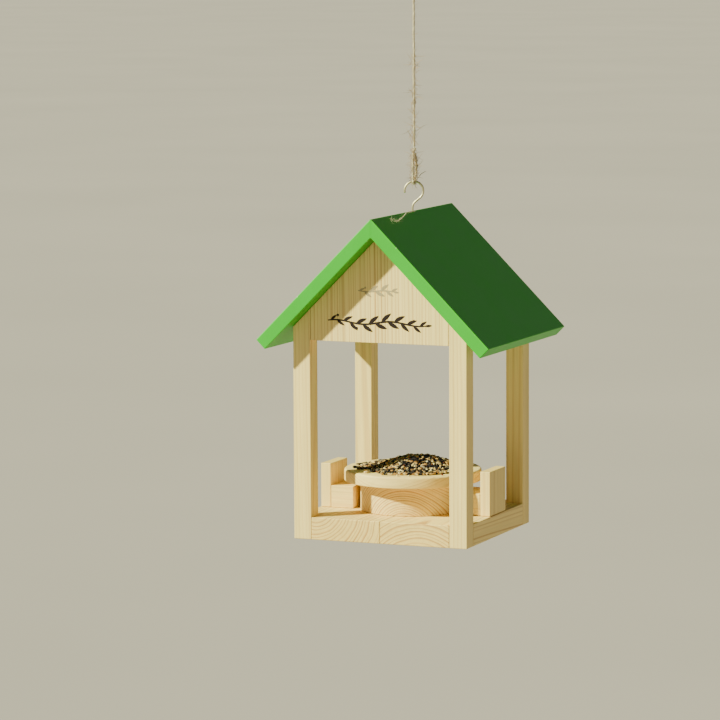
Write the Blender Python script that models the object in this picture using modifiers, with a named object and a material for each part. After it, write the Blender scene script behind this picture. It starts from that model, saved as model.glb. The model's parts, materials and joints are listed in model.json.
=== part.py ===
"""Hanging bird feeder: a small open pine house with a painted gable roof, a round table and two
chairs inside, hung from a wire screw hook on a jute twine.

Metres, +Z up, +X to the right of the front, the front facing -Y. The origin is where the twine's
hanging loop bears on whatever it hangs from. House sizes are written with z = 0 at the underside of
the base, and every piece is parented to an empty on the axis of the joint that carries it.
"""

import math

import bmesh
import bpy
from mathutils import Matrix, Vector

# Clearances
GLUE_GAP = 0.00025  # between glued faces
FIT = 0.0003  # round a dowel, a screw or the hook in its hole
EASE = 0.0007  # radius of the sanded edges

# House
HOUSE_WIDTH = 0.190
HOUSE_DEPTH = 0.1824
BASE_THICKNESS = 0.0229
POST_SIDE = 0.019
OPENING_HEIGHT = 0.1829  # from the base up to the gable panels
SHOULDER = 0.0136  # from the gable's lower edge up to the eaves line at the posts' outer faces
GABLE_THICKNESS = 0.0135
ROOF_PITCH = math.radians(45)
ROOF_THICKNESS = 0.0135
EAVES_OVERHANG = 0.0318
VERGE_OVERHANG = 0.0215
BATTEN_SIDE = 0.018

# Table and chairs
BACK_THICKNESS = 0.011
BACK_HEIGHT = 0.046
CHAIR_WIDTH = 0.045
SEAT_HEIGHT = 0.0229
CHAIR_INSET = 0.0008  # from the base's side to the chair's back
TABLE_TO_BACK = 0.0119
TABLE_THICKNESS = 0.012
TABLE_EDGE = 0.0024
DRUM_HEIGHT = 0.031
DRUM_SETBACK = 0.0168  # the drum's side stands this far in from the table's edge
SEAT_TO_DRUM = 0.0034

# Seeds
HEAP_MARGIN = 0.0193  # of bare table round the heap
HEAP_HEIGHT = 0.013
HEAP_RIM = 0.0012  # a seed's thickness, at the heap's edge
HEAP_FLATNESS = 1.3  # power of the cosine in the heap's profile
HEAP_SHIFT = Vector((0.007, -0.004))

# Dowels and screws
PEG_RADIUS = 0.003
PEG_LENGTH = 0.022
PEG_CHAMFER = 0.0004
SEAM_PEG_RADIUS = 0.004
SEAM_PEG_LENGTH = 0.030
SMALL_PEG_RADIUS = 0.002
SMALL_PEG_LENGTH = 0.014
ROOF_PEG_LENGTH = 0.016
ROOF_PEG_DEPTH = 0.0075  # of that, inside the roof board
ROOF_PEG_FROM_MIDDLE = 0.023
ROOF_PEG_FROM_POST = 0.0215
CHAIR_PEG_BELOW = 0.0087  # under the seat's top
SCREW_RADIUS = 0.0017
SCREW_HEAD_RADIUS = 0.0036
SCREW_HEAD_DEPTH = 0.0024
SCREW_TIP = 0.005
SCREW_BITE = 0.0115  # beyond the base, into what it holds
SCREW_SET_IN = 0.0004  # the head lies this far above the base's underside
TABLE_SCREWS_APART = 0.049
RECESS_WIDTH = 0.0008
RECESS_LENGTH = 0.0036
RECESS_DEPTH = 0.0014

# Screw hook
HOOK_WIRE = 0.0022
HOOK_RING_RADIUS = 0.0096  # to the middle of the wire
HOOK_RISE = 0.0205  # from the ridge to the ring's centre
HOOK_OFFSET = 0.0015  # from the shank's axis to the ring's centre
HOOK_TURN = math.radians(20)  # of the ring's plane from the house's width
HOOK_AT = Vector((0.0, 0.0011))
HOOK_BITE = 0.0066  # of the shank, inside the batten
HOOK_STRAIGHT = 0.0025  # of the shank above the ridge
HOOK_START, HOOK_END = math.radians(-50), math.radians(194)

# Twine
TWINE = 0.002
TWINE_GAP = 0.0003
KNOT_RADIUS = 0.0026
KNOT_HALF_HEIGHT = 0.0034
LOWER_KNOT_RISE = 0.0325  # from the hook's crown to the lower knot
LOWER_KNOT_ACROSS = 0.0003
STRAND_LENGTH = 0.157
LOOP_HEIGHT = 0.040
LOOP_HALF_WIDTH = 0.0085
LOOP_TAILS = 0.0006  # from the top of the knot down to the loop's ends
THREAD = 0.0008

# Heights and half sizes that follow
HALF_W, HALF_D = HOUSE_WIDTH / 2, HOUSE_DEPTH / 2
POST_IN_X, POST_IN_Y = HALF_W - POST_SIDE, HALF_D - POST_SIDE
GABLE_BOTTOM = BASE_THICKNESS + OPENING_HEIGHT
EAVES_HEIGHT = GABLE_BOTTOM + SHOULDER
SLOPE = math.tan(ROOF_PITCH)
APEX = EAVES_HEIGHT + HALF_W * SLOPE  # the roof boards' undersides meet here
RIDGE = APEX + ROOF_THICKNESS / math.cos(ROOF_PITCH)
BACK_IN_X = HALF_W - CHAIR_INSET - BACK_THICKNESS
TABLE_RADIUS = BACK_IN_X - TABLE_TO_BACK
DRUM_RADIUS = TABLE_RADIUS - DRUM_SETBACK
SEAT_IN_X = DRUM_RADIUS + SEAT_TO_DRUM
DRUM_BOTTOM = BASE_THICKNESS + GLUE_GAP
TABLE_BOTTOM = DRUM_BOTTOM + DRUM_HEIGHT
TABLE_TOP = TABLE_BOTTOM + TABLE_THICKNESS
HEAP_RADIUS = TABLE_RADIUS - HEAP_MARGIN
SCREW_LENGTH = BASE_THICKNESS - SCREW_SET_IN + SCREW_BITE
BATTEN_TOP = APEX - GLUE_GAP / math.cos(ROOF_PITCH)
HOOK_SHANK_IN = RIDGE - BATTEN_TOP + HOOK_BITE

# Places on the hook and the twine
RING_DIRECTION = Vector((math.cos(HOOK_TURN), math.sin(HOOK_TURN), 0))
RING_NORMAL = Vector((-math.sin(HOOK_TURN), math.cos(HOOK_TURN), 0))
SHANK = Vector((HOOK_AT.x, HOOK_AT.y, RIDGE))
RING_CENTRE = SHANK + RING_DIRECTION * HOOK_OFFSET + Vector((0, 0, HOOK_RISE))
CROWN = RING_CENTRE + Vector((0, 0, HOOK_RING_RADIUS))
LOWER_KNOT = CROWN + RING_DIRECTION * LOWER_KNOT_ACROSS + Vector((0, 0, LOWER_KNOT_RISE))
STRAND_BOTTOM = LOWER_KNOT + Vector((0, 0, KNOT_HALF_HEIGHT + TWINE_GAP))
STRAND_TOP = STRAND_BOTTOM + Vector((0, 0, STRAND_LENGTH))
TOP_KNOT = STRAND_TOP + Vector((0, 0, KNOT_HALF_HEIGHT + TWINE_GAP))
LOOP_TOP = TOP_KNOT + Vector((0, 0, KNOT_HALF_HEIGHT + LOOP_HEIGHT))
HANG_POINT = LOOP_TOP - Vector((0, 0, TWINE / 2))

PIVOTS = {
    "held": HANG_POINT,
    "sway": TOP_KNOT,
    "twist": LOWER_KNOT,
    "rock": CROWN,
}

COLOURS = {
    "pine": ((0.90, 0.76, 0.52), 0.62, 0.0),
    "green_paint": ((0.10, 0.36, 0.06), 0.45, 0.0),
    "beech_dowel": ((0.72, 0.55, 0.36), 0.70, 0.0),
    "zinc_steel": ((0.62, 0.60, 0.55), 0.35, 1.0),
    "hook_steel": ((0.66, 0.58, 0.42), 0.30, 1.0),
    "jute": ((0.66, 0.56, 0.38), 0.95, 0.0),
    "seed": ((0.22, 0.16, 0.10), 0.80, 0.0),
}


def clear_scene():
    for obj in list(bpy.data.objects):
        bpy.data.objects.remove(obj, do_unlink=True)


def new_collection(name):
    collection = bpy.data.collections.new(name)
    bpy.context.scene.collection.children.link(collection)
    return collection


def material(name):
    """The Principled material of that name, made once."""
    if name in bpy.data.materials:
        return bpy.data.materials[name]
    colour, roughness, metallic = COLOURS[name]
    made = bpy.data.materials.new(name)
    made.use_nodes = True
    shader = made.node_tree.nodes["Principled BSDF"]
    shader.inputs["Base Color"].default_value = (*colour, 1)
    shader.inputs["Roughness"].default_value = roughness
    shader.inputs["Metallic"].default_value = metallic
    made.diffuse_color = (*colour, 1)
    return made


def make_pivots():
    """One empty on each joint's axis, each parented to the one above it."""
    empties, above, above_at = {}, None, Vector((0, 0, 0))
    for name, at in PIVOTS.items():
        empty = bpy.data.objects.new(name + "_pivot", None)
        parts.objects.link(empty)
        empty.parent = above
        empty.location = at - above_at if above else above_at
        empties[name] = above = empty
        above_at = at
    return empties


def place(obj, at, pivot="rock"):
    """Parents obj to a pivot's empty, with its origin at the house point at."""
    obj.parent = pivots[pivot]
    obj.location = Vector(at) - PIVOTS[pivot]
    return obj


def mesh_object(name, mesh, finish, at=(0, 0, 0), pivot="rock"):
    obj = bpy.data.objects.new(name, mesh)
    parts.objects.link(obj)
    mesh.materials.append(material(finish))
    return place(obj, at, pivot)


def mesh_of(build):
    """A mesh filled by build(bm), with its normals facing out."""
    bm = bmesh.new()
    build(bm)
    bmesh.ops.recalc_face_normals(bm, faces=bm.faces)
    mesh = bpy.data.meshes.new("solid")
    bm.to_mesh(mesh)
    bm.free()
    return mesh


def baked(curve_object):
    """The mesh of a curve object, with its caps welded, and the curve removed."""
    bpy.context.view_layer.update()
    graph = bpy.context.evaluated_depsgraph_get()
    mesh = bpy.data.meshes.new_from_object(curve_object.evaluated_get(graph))
    bm = bmesh.new()
    bm.from_mesh(mesh)
    bmesh.ops.remove_doubles(bm, verts=bm.verts, dist=1e-6)
    bmesh.ops.transform(bm, matrix=curve_object.matrix_world, verts=bm.verts)
    bmesh.ops.recalc_face_normals(bm, faces=bm.faces)
    bm.to_mesh(mesh)
    bm.free()
    bpy.data.objects.remove(curve_object, do_unlink=True)
    return mesh


def outline_mesh(outline, thickness, upright):
    """The flat outline, thickness deep and centred on its plane: XZ if upright, or else XY."""
    data = bpy.data.curves.new("outline", "CURVE")
    data.dimensions = "2D"
    data.fill_mode = "BOTH"
    data.extrude = thickness / 2
    spline = data.splines.new("POLY")
    spline.points.add(len(outline) - 1)
    for point, (u, v) in zip(spline.points, outline):
        point.co = (u, v, 0, 1)
    spline.use_cyclic_u = True
    obj = bpy.data.objects.new("outline", data)
    parts.objects.link(obj)
    if upright:
        obj.rotation_euler.x = math.pi / 2
    return baked(obj)


def ease_edges(obj, width=EASE, segments=2):
    bevel = obj.modifiers.new("eased edges", "BEVEL")
    bevel.width = width
    bevel.segments = segments
    bevel.limit_method = "ANGLE"
    bevel.angle_limit = math.radians(30)
    return obj


def board(name, outline, thickness, at, finish="pine", upright=True):
    return ease_edges(mesh_object(name, outline_mesh(outline, thickness, upright), finish, at))


def block(name, low, high, finish="pine"):
    """A box between two corners."""
    size = [b - a for a, b in zip(low, high)]
    centre = [(a + b) / 2 for a, b in zip(low, high)]
    mesh = mesh_of(lambda bm: bmesh.ops.create_cube(bm, matrix=Matrix.Diagonal((*size, 1))))
    return ease_edges(mesh_object(name, mesh, finish, centre))


def turned(name, profile, finish, at, steps=48):
    """A profile of (radius, height) points, top to bottom, turned about its own Z axis."""
    mesh = bpy.data.meshes.new(name)
    edges = [(i, i + 1) for i in range(len(profile) - 1)]
    mesh.from_pydata([(r, 0, z) for r, z in profile], edges, [])
    obj = mesh_object(name, mesh, finish, at)
    screw = obj.modifiers.new("turned", "SCREW")
    screw.steps = screw.render_steps = steps
    screw.use_merge_vertices = True
    screw.merge_threshold = 1e-5
    screw.use_smooth_shade = False
    return obj


def as_cutter(obj):
    for collection in list(obj.users_collection):
        collection.objects.unlink(obj)
    cutters.objects.link(obj)
    obj.hide_render = True
    obj.display_type = "WIRE"
    return obj


def cut(hosts, cutter):
    for host in hosts:
        hole = host.modifiers.new("hole for " + cutter.name, "BOOLEAN")
        hole.operation = "DIFFERENCE"
        hole.object = cutter


def rod(name, radius, length, at, direction, finish, sides=12):
    def build(bm):
        bmesh.ops.create_cone(
            bm, cap_ends=True, segments=sides, radius1=radius, radius2=radius, depth=length
        )

    obj = mesh_object(name, mesh_of(build), finish, at)
    obj.rotation_euler = Vector(direction).to_track_quat("Z", "Y").to_euler()
    return obj


def peg(name, at, direction, hosts, radius=PEG_RADIUS, length=PEG_LENGTH):
    """A wooden dowel and the blind hole that it fills in its hosts."""
    ease_edges(rod(name, radius, length, at, direction, "beech_dowel"), PEG_CHAMFER, 1)
    hole = rod(name + "_hole", radius + FIT, length + 2 * FIT, at, direction, "beech_dowel")
    cut(hosts, as_cutter(hole))


def tube(name, points, diameter, finish, pivot, resolution=2):
    """A round wire or cord along house points, as a curve with filled caps."""
    start = PIVOTS[pivot]
    data = bpy.data.curves.new(name, "CURVE")
    data.dimensions = "3D"
    data.bevel_depth = diameter / 2
    data.bevel_resolution = resolution
    data.use_fill_caps = True
    spline = data.splines.new("POLY")
    spline.points.add(len(points) - 1)
    for point, at in zip(spline.points, points):
        point.co = (*(Vector(at) - start), 1)
    data.materials.append(material(finish))
    obj = bpy.data.objects.new(name, data)
    parts.objects.link(obj)
    return place(obj, start, pivot)


def smooth_route(route, spacing):
    """Points about spacing apart on a Catmull-Rom curve through the route's own points."""
    route = [Vector(p) for p in route]
    ends = [2 * route[0] - route[1], *route, 2 * route[-1] - route[-2]]
    points = [route[0]]
    for a, b, c, d in zip(ends, ends[1:], ends[2:], ends[3:]):
        count = max(1, round((c - b).length / spacing))
        for i in range(1, count + 1):
            t = i / count
            points.append(
                0.5
                * (
                    2 * b
                    + (c - a) * t
                    + (2 * a - 5 * b + 4 * c - d) * t**2
                    + (3 * b - a - 3 * c + d) * t**3
                )
            )
    return points


def roof_underside(x):
    return APEX - abs(x) * SLOPE


def make_base():
    """Two boards glued edge to edge, notched at the corners for the posts."""
    bases = []
    notch_x, notch_y = POST_IN_X - GLUE_GAP, POST_IN_Y - GLUE_GAP
    for side, name in ((-1, "base_board_left"), (1, "base_board_right")):
        corners = [
            (GLUE_GAP / 2, -HALF_D),
            (notch_x, -HALF_D),
            (notch_x, -notch_y),
            (HALF_W, -notch_y),
            (HALF_W, notch_y),
            (notch_x, notch_y),
            (notch_x, HALF_D),
            (GLUE_GAP / 2, HALF_D),
        ]
        outline = [(side * x, y) for x, y in corners]
        at = (0, 0, BASE_THICKNESS / 2)
        bases.append(board(name, outline, BASE_THICKNESS, at, upright=False))
    for number, y in enumerate((-HALF_D / 2, HALF_D / 2), 1):
        at = (0, y, BASE_THICKNESS / 2)
        name = f"base_seam_dowel_{number}"
        peg(name, at, (1, 0, 0), bases, SEAM_PEG_RADIUS, SEAM_PEG_LENGTH)
    return bases


def make_posts(bases):
    """Four corner posts, with their tops cut to the roof's slope."""
    posts = {}
    for side, side_name in ((-1, "left"), (1, "right")):
        inner, outer = side * POST_IN_X, side * HALF_W
        outline = [
            (inner, 0),
            (outer, 0),
            (outer, roof_underside(outer) - GLUE_GAP),
            (inner, roof_underside(inner) - GLUE_GAP),
        ]
        for end, end_name in ((-1, "front"), (1, "rear")):
            y = end * (HALF_D - POST_SIDE / 2)
            post = board(f"post_{end_name}_{side_name}", outline, POST_SIDE, (0, y, 0))
            posts[side, end] = post
            peg(
                f"post_foot_dowel_{end_name}_{side_name}",
                (inner, y, BASE_THICKNESS / 2),
                (1, 0, 0),
                [post, bases[side > 0]],
            )
    return posts


def make_gables(posts):
    """Front and rear panels between the posts, with sloping tops."""
    gables = {}
    x = POST_IN_X - GLUE_GAP
    outline = [
        (-x, GABLE_BOTTOM),
        (x, GABLE_BOTTOM),
        (x, roof_underside(x) - GLUE_GAP),
        (0, APEX - GLUE_GAP),
        (-x, roof_underside(x) - GLUE_GAP),
    ]
    shoulder_middle = (GABLE_BOTTOM + roof_underside(x)) / 2
    for end, end_name in ((-1, "front"), (1, "rear")):
        y = end * (HALF_D - GABLE_THICKNESS / 2)
        gable = board(f"gable_{end_name}", outline, GABLE_THICKNESS, (0, y, 0))
        gables[end] = gable
        for side, side_name in ((-1, "left"), (1, "right")):
            peg(
                f"gable_dowel_{end_name}_{side_name}",
                (side * POST_IN_X, y, shoulder_middle),
                (1, 0, 0),
                [gable, posts[side, end]],
            )
    return gables


def make_roof(gables):
    """Two boards mitred at the ridge, with square-cut eaves, on blind dowels in the gables."""
    roofs = {}
    run = HALF_W + EAVES_OVERHANG
    back_x = ROOF_THICKNESS * math.sin(ROOF_PITCH)
    back_z = ROOF_THICKNESS * math.cos(ROOF_PITCH)
    eave_z = RIDGE - run * SLOPE
    gap = GLUE_GAP / 2
    for side, name in ((-1, "roof_board_left"), (1, "roof_board_right")):
        outline = [
            (side * gap, RIDGE - gap * SLOPE),
            (side * run, eave_z),
            (side * (run - back_x), eave_z - back_z),
            (side * gap, APEX - gap * SLOPE),
        ]
        depth = HOUSE_DEPTH + 2 * VERGE_OVERHANG
        roofs[side] = board(name, outline, depth, (0, 0, 0), "green_paint")
        normal = Vector((side * math.sin(ROOF_PITCH), 0, math.cos(ROOF_PITCH)))
        for end, end_name in ((-1, "front"), (1, "rear")):
            y = end * (HALF_D - GABLE_THICKNESS / 2)
            places = (ROOF_PEG_FROM_MIDDLE, POST_IN_X - ROOF_PEG_FROM_POST)
            for number, out in enumerate(places, 1):
                x = side * out
                middle = Vector((x, y, roof_underside(x)))
                middle += normal * (ROOF_PEG_DEPTH - ROOF_PEG_LENGTH / 2)
                side_name = "left" if side < 0 else "right"
                peg(
                    f"roof_dowel_{end_name}_{side_name}_{number}",
                    middle,
                    normal,
                    [gables[end], roofs[side]],
                    PEG_RADIUS,
                    ROOF_PEG_LENGTH,
                )
    return roofs


def make_ridge_batten():
    """A square batten on its corner under the ridge, between the gables, for the hook to bite."""
    half_diagonal = BATTEN_SIDE / math.sqrt(2)
    middle = BATTEN_TOP - half_diagonal
    outline = [
        (half_diagonal, middle),
        (0, middle + half_diagonal),
        (-half_diagonal, middle),
        (0, middle - half_diagonal),
    ]
    length = 2 * (HALF_D - GABLE_THICKNESS - GLUE_GAP)
    return board("ridge_batten", outline, length, (0, 0, 0))


def make_table():
    """A round top with a rounded edge, glued and pegged on a thick round drum."""
    arc = [math.radians(a) for a in range(90, -1, -18)]
    r, e = TABLE_RADIUS, TABLE_EDGE
    top = [(0, TABLE_THICKNESS)]
    top += [(r - e + e * math.cos(a), TABLE_THICKNESS - e + e * math.sin(a)) for a in arc]
    top += [(r, EASE), (r - EASE, 0), (0, 0)]
    drum = [
        (0, DRUM_HEIGHT - GLUE_GAP),
        (DRUM_RADIUS - EASE, DRUM_HEIGHT - GLUE_GAP),
        (DRUM_RADIUS, DRUM_HEIGHT - GLUE_GAP - EASE),
        (DRUM_RADIUS, EASE),
        (DRUM_RADIUS - EASE, 0),
        (0, 0),
    ]
    table_top = turned("table_top", top, "pine", (0, 0, TABLE_BOTTOM), 72)
    table_drum = turned("table_drum", drum, "pine", (0, 0, DRUM_BOTTOM), 72)
    at = (0, 0, TABLE_BOTTOM - SMALL_PEG_LENGTH / 2 + TABLE_THICKNESS / 2)
    peg("table_dowel", at, (0, 0, 1), [table_top, table_drum], SEAM_PEG_RADIUS, SMALL_PEG_LENGTH)
    return table_drum


def make_chair(side, name):
    """A seat block against an upright back slat, flush with the base's side."""
    half = CHAIR_WIDTH / 2
    foot = BASE_THICKNESS + GLUE_GAP
    back_out = HALF_W - CHAIR_INSET
    seat_out = BACK_IN_X - GLUE_GAP

    def between(x_in, x_out, height):
        low_x, high_x = sorted((side * x_in, side * x_out))
        return (low_x, -half, foot), (high_x, half, foot + height)

    back = block(f"chair_back_{name}", *between(BACK_IN_X, back_out, BACK_HEIGHT))
    seat = block(f"chair_seat_{name}", *between(SEAT_IN_X, seat_out, SEAT_HEIGHT))
    middle = side * (BACK_IN_X + BACK_THICKNESS / 2 - SMALL_PEG_LENGTH / 2)
    at = (middle, 0, foot + SEAT_HEIGHT - CHAIR_PEG_BELOW)
    peg(f"chair_dowel_{name}", at, (1, 0, 0), [back, seat], SMALL_PEG_RADIUS, SMALL_PEG_LENGTH)
    return seat


def screw_profile(extra):
    """A countersunk wood screw, head down, grown by extra all round."""
    radius, head, depth = SCREW_RADIUS + extra, SCREW_HEAD_RADIUS + extra, SCREW_HEAD_DEPTH
    return [
        (0, SCREW_LENGTH + extra),
        (radius, SCREW_LENGTH - SCREW_TIP + extra),
        (radius, depth + extra),
        (head, extra),
        (head, -extra),
        (0, -extra),
    ]


def make_screw(name, x, hosts):
    """A screw driven up through the base, with a cross recess in its head."""
    at = (x, 0, SCREW_SET_IN)
    screw = turned(name, screw_profile(0), "zinc_steel", at, 20)
    for number, size in enumerate(
        ((RECESS_LENGTH, RECESS_WIDTH), (RECESS_WIDTH, RECESS_LENGTH)), 1
    ):
        shape = Matrix.Diagonal((*size, 2 * RECESS_DEPTH, 1))
        mesh = mesh_of(lambda bm: bmesh.ops.create_cube(bm, matrix=shape))
        recess = mesh_object(f"{name}_recess_{number}", mesh, "zinc_steel", at)
        cut([screw], as_cutter(recess))
    profile = screw_profile(FIT)
    profile[-2:] = [(profile[-2][0], -2 * SCREW_SET_IN), (0, -2 * SCREW_SET_IN)]
    cut(hosts, as_cutter(turned(name + "_hole", profile, "zinc_steel", at, 20)))


def make_seed_heap():
    """A low mound on the table top: its height falls as a power of the cosine, out to a thin rim."""
    rings = 8
    profile = []
    for i in range(rings + 1):
        fall = math.cos(i / rings * math.pi / 2) ** HEAP_FLATNESS
        profile.append((HEAP_RADIUS * i / rings, HEAP_RIM + HEAP_HEIGHT * fall))
    profile += [(HEAP_RADIUS, 0), (0, 0)]
    at = (HEAP_SHIFT.x, HEAP_SHIFT.y, TABLE_TOP + GLUE_GAP)
    turned("seed_heap", profile, "seed", at, 40)


def hook_route():
    """The shank up from its tip, an S bend into the ring, and the ring round to its open end."""
    foot = SHANK - Vector((0, 0, HOOK_SHANK_IN))
    bend = SHANK + Vector((0, 0, HOOK_STRAIGHT))

    def on_ring(angle):
        out = RING_DIRECTION * math.cos(angle) + Vector((0, 0, math.sin(angle)))
        return RING_CENTRE + out * HOOK_RING_RADIUS

    start = on_ring(HOOK_START)
    along = RING_DIRECTION * -math.sin(HOOK_START) + Vector((0, 0, math.cos(HOOK_START)))
    handle = (start - bend).length * 0.42
    a, b = bend + Vector((0, 0, handle)), start - along * handle
    shank_steps, bend_steps, ring_steps = 6, 8, 26
    points = [foot.lerp(bend, i / shank_steps) for i in range(shank_steps + 1)]
    for i in range(1, bend_steps + 1):
        t = i / bend_steps
        points.append(
            (1 - t) ** 3 * bend + 3 * t * (1 - t) ** 2 * a + 3 * t**2 * (1 - t) * b + t**3 * start
        )
    for i in range(1, ring_steps + 1):
        points.append(on_ring(HOOK_START + (HOOK_END - HOOK_START) * i / ring_steps))
    return points


def make_hook(roofs, batten):
    """An open wire hook screwed down through the mitre into the batten."""
    tube("screw_hook", hook_route(), HOOK_WIRE, "hook_steel", "rock", 3)
    depth = HOOK_SHANK_IN + 2 * FIT
    above = 0.004
    at = SHANK + Vector((0, 0, (above - depth) / 2))
    hole = rod("hook_hole", HOOK_WIRE / 2 + FIT, depth + above, at, (0, 0, 1), "hook_steel")
    cut([*roofs.values(), batten], as_cutter(hole))


def make_knot(name, at, pivot):
    shape = Matrix.Diagonal((KNOT_RADIUS, KNOT_RADIUS, KNOT_HALF_HEIGHT, 1))

    def build(bm):
        bmesh.ops.create_uvsphere(bm, u_segments=16, v_segments=10, radius=1, matrix=shape)

    mesh_object(name, mesh_of(build), "jute", at, pivot)


def on_crown(across, through, up):
    """A point given from the hook's crown: along the ring's plane, through it, and up."""
    return CROWN + RING_DIRECTION * across + RING_NORMAL * through + Vector((0, 0, up))


def make_twine():
    """A loop round the hook's crown, a knot, the long strand, a second knot and a hanging loop."""
    wrap = HOOK_WIRE / 2 + TWINE / 2 + TWINE_GAP
    under_knot = LOWER_KNOT_RISE - KNOT_HALF_HEIGHT - TWINE_GAP
    crown_loop = [
        on_crown(-0.0008, -0.0010, under_knot),
        on_crown(-0.0011, -0.0017, 0.022),
        on_crown(-0.0010, -0.0022, 0.010),
        on_crown(-0.0008, -wrap, 0.0015),
        on_crown(-0.0005, -0.8 * wrap, -0.62 * wrap),
        on_crown(0.0, 0.0, -wrap),
        on_crown(0.0006, 0.8 * wrap, -0.62 * wrap),
        on_crown(0.0011, wrap, 0.0015),
        on_crown(0.0022, 0.0025, 0.010),
        on_crown(0.0024, 0.0020, 0.020),
        on_crown(0.0013, 0.0010, under_knot),
    ]
    tube("twine_hook_loop", smooth_route(crown_loop, 0.0016), TWINE, "jute", "twist")
    make_knot("twine_lower_knot", LOWER_KNOT, "twist")
    strand = [STRAND_BOTTOM.lerp(STRAND_TOP, i / 12) for i in range(13)]
    tube("twine_strand", smooth_route(strand, 0.006), TWINE, "jute", "sway")
    make_knot("twine_top_knot", TOP_KNOT, "held")
    foot = TOP_KNOT + Vector((0, 0, KNOT_HALF_HEIGHT - LOOP_TAILS))
    loop_top = LOOP_HEIGHT + LOOP_TAILS
    half = [(0.0022, 0.0), (0.0044, 0.007), (0.0075, 0.018)]
    for degrees in (-8, 22, 52):
        angle = math.radians(degrees)
        across = LOOP_HALF_WIDTH * math.cos(angle)
        half.append((across, loop_top - LOOP_HALF_WIDTH * (1 - math.sin(angle))))
    outline = [(-across, up) for across, up in half] + [(0, loop_top)]
    outline += [(across, up) for across, up in reversed(half)]
    route = [foot + Vector((across, 0, up)) for across, up in outline]
    tube("twine_hang_loop", smooth_route(route, 0.004), TWINE, "jute", "held")


def make_loose_thread():
    """A thin loose end of twine lying along the right slope, forward from the hook."""
    lift = THREAD / 2 + 2 * GLUE_GAP
    normal = Vector((math.sin(ROOF_PITCH), 0, math.cos(ROOF_PITCH)))
    beside = HOOK_WIRE / 2 + THREAD / 2 + TWINE_GAP
    route = []
    for x, y in (
        (0.0014, HOOK_AT.y + 0.0010),
        (0.0013, HOOK_AT.y - beside - 0.0012),
        (0.0011, -0.018),
        (0.0030, -0.030),
        (0.0050, -0.042),
        (0.0063, -0.053),
        (0.0066, -0.061),
        (0.0046, -0.066),
        (0.0034, -0.072),
    ):
        route.append(Vector((x, y, RIDGE - x * SLOPE)) + normal * lift)
    route[0].x = beside + 0.0006
    route[0].z = RIDGE - route[0].x * SLOPE + lift / math.cos(ROOF_PITCH)
    tube("twine_loose_end", smooth_route(route, 0.0022), THREAD, "jute", "rock")


def make_feeder():
    bases = make_base()
    posts = make_posts(bases)
    gables = make_gables(posts)
    roofs = make_roof(gables)
    batten = make_ridge_batten()
    drum = make_table()
    seats = [make_chair(-1, "left"), make_chair(1, "right")]
    seat_x = (SEAT_IN_X + BACK_IN_X) / 2
    for base, seat, side, name in zip(bases, seats, (-1, 1), ("left", "right")):
        make_screw(f"table_screw_{name}", side * TABLE_SCREWS_APART / 2, [base, drum])
        make_screw(f"chair_screw_{name}", side * seat_x, [base, seat])
    make_seed_heap()
    make_hook(roofs, batten)
    make_twine()
    make_loose_thread()


clear_scene()
parts = new_collection("hanging_bird_feeder")
cutters = new_collection("cutters")
pivots = make_pivots()
make_feeder()
bpy.context.view_layer.update()
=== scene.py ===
"""Looks of the hanging bird feeder: pine house, painted roof, mixed seed, wire hook and jute twine.

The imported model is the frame. House places are in metres from the middle of the base's underside, and
house() turns them into frame points. Every new piece is a skin over a grid of points worked out with
numpy, and every material reads frame coordinates or the piece's own UV map and attribute.
"""

import json
import math

import bpy
import numpy as np
from mathutils import Matrix, Vector


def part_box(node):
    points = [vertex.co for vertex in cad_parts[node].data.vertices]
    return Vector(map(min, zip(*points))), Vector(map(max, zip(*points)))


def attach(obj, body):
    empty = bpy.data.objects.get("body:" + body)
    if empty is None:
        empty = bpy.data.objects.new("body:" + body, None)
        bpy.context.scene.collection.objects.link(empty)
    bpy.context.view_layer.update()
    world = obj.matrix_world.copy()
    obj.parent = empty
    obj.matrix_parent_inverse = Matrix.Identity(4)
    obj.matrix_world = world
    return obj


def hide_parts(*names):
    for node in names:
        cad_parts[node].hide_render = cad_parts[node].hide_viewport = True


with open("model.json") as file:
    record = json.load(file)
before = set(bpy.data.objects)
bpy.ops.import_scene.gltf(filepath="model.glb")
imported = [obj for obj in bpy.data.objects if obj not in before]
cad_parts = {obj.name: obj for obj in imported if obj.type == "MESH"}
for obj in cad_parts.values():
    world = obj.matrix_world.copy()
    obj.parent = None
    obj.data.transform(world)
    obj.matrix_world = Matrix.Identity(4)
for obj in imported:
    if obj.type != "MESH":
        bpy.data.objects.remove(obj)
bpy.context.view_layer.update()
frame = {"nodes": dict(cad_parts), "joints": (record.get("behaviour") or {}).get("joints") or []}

# Places and sizes read from the frame
BASE_LEFT, BASE_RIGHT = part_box("base_board_left"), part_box("base_board_right")
HOUSE = np.array([BASE_LEFT[0].x + BASE_RIGHT[1].x, BASE_LEFT[0].y + BASE_LEFT[1].y, 2 * BASE_LEFT[0].z]) / 2
JOINTS = {joint["name"]: joint for joint in frame["joints"]}
CROWN = np.array(JOINTS["hook_rock"]["pos_m"])  # middle of the wire, at the top of the hook's ring
LOWER_KNOT = np.array(JOINTS["twine_twist"]["pos_m"])
TOP_KNOT = np.array(JOINTS["twine_sway"]["pos_m"])
RING_WAY = np.array(JOINTS["hook_rock"]["axis"])  # level, along the ring's plane
RING_SIDE = np.array([-RING_WAY[1], RING_WAY[0], 0.0])  # square to that plane
UP = np.array([0.0, 0.0, 1.0])
GABLE_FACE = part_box("gable_front")[0].y - HOUSE[1]
KNOT_LOW, KNOT_HIGH = (np.array(corner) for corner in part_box("twine_lower_knot"))
TABLE_LOW, TABLE_HIGH = (np.array(corner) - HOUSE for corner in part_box("table_top"))
DRUM_LOW, DRUM_HIGH = (np.array(corner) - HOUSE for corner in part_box("table_drum"))
HEAP_LOW, HEAP_HIGH = (np.array(corner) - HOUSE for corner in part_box("seed_heap"))
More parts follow.
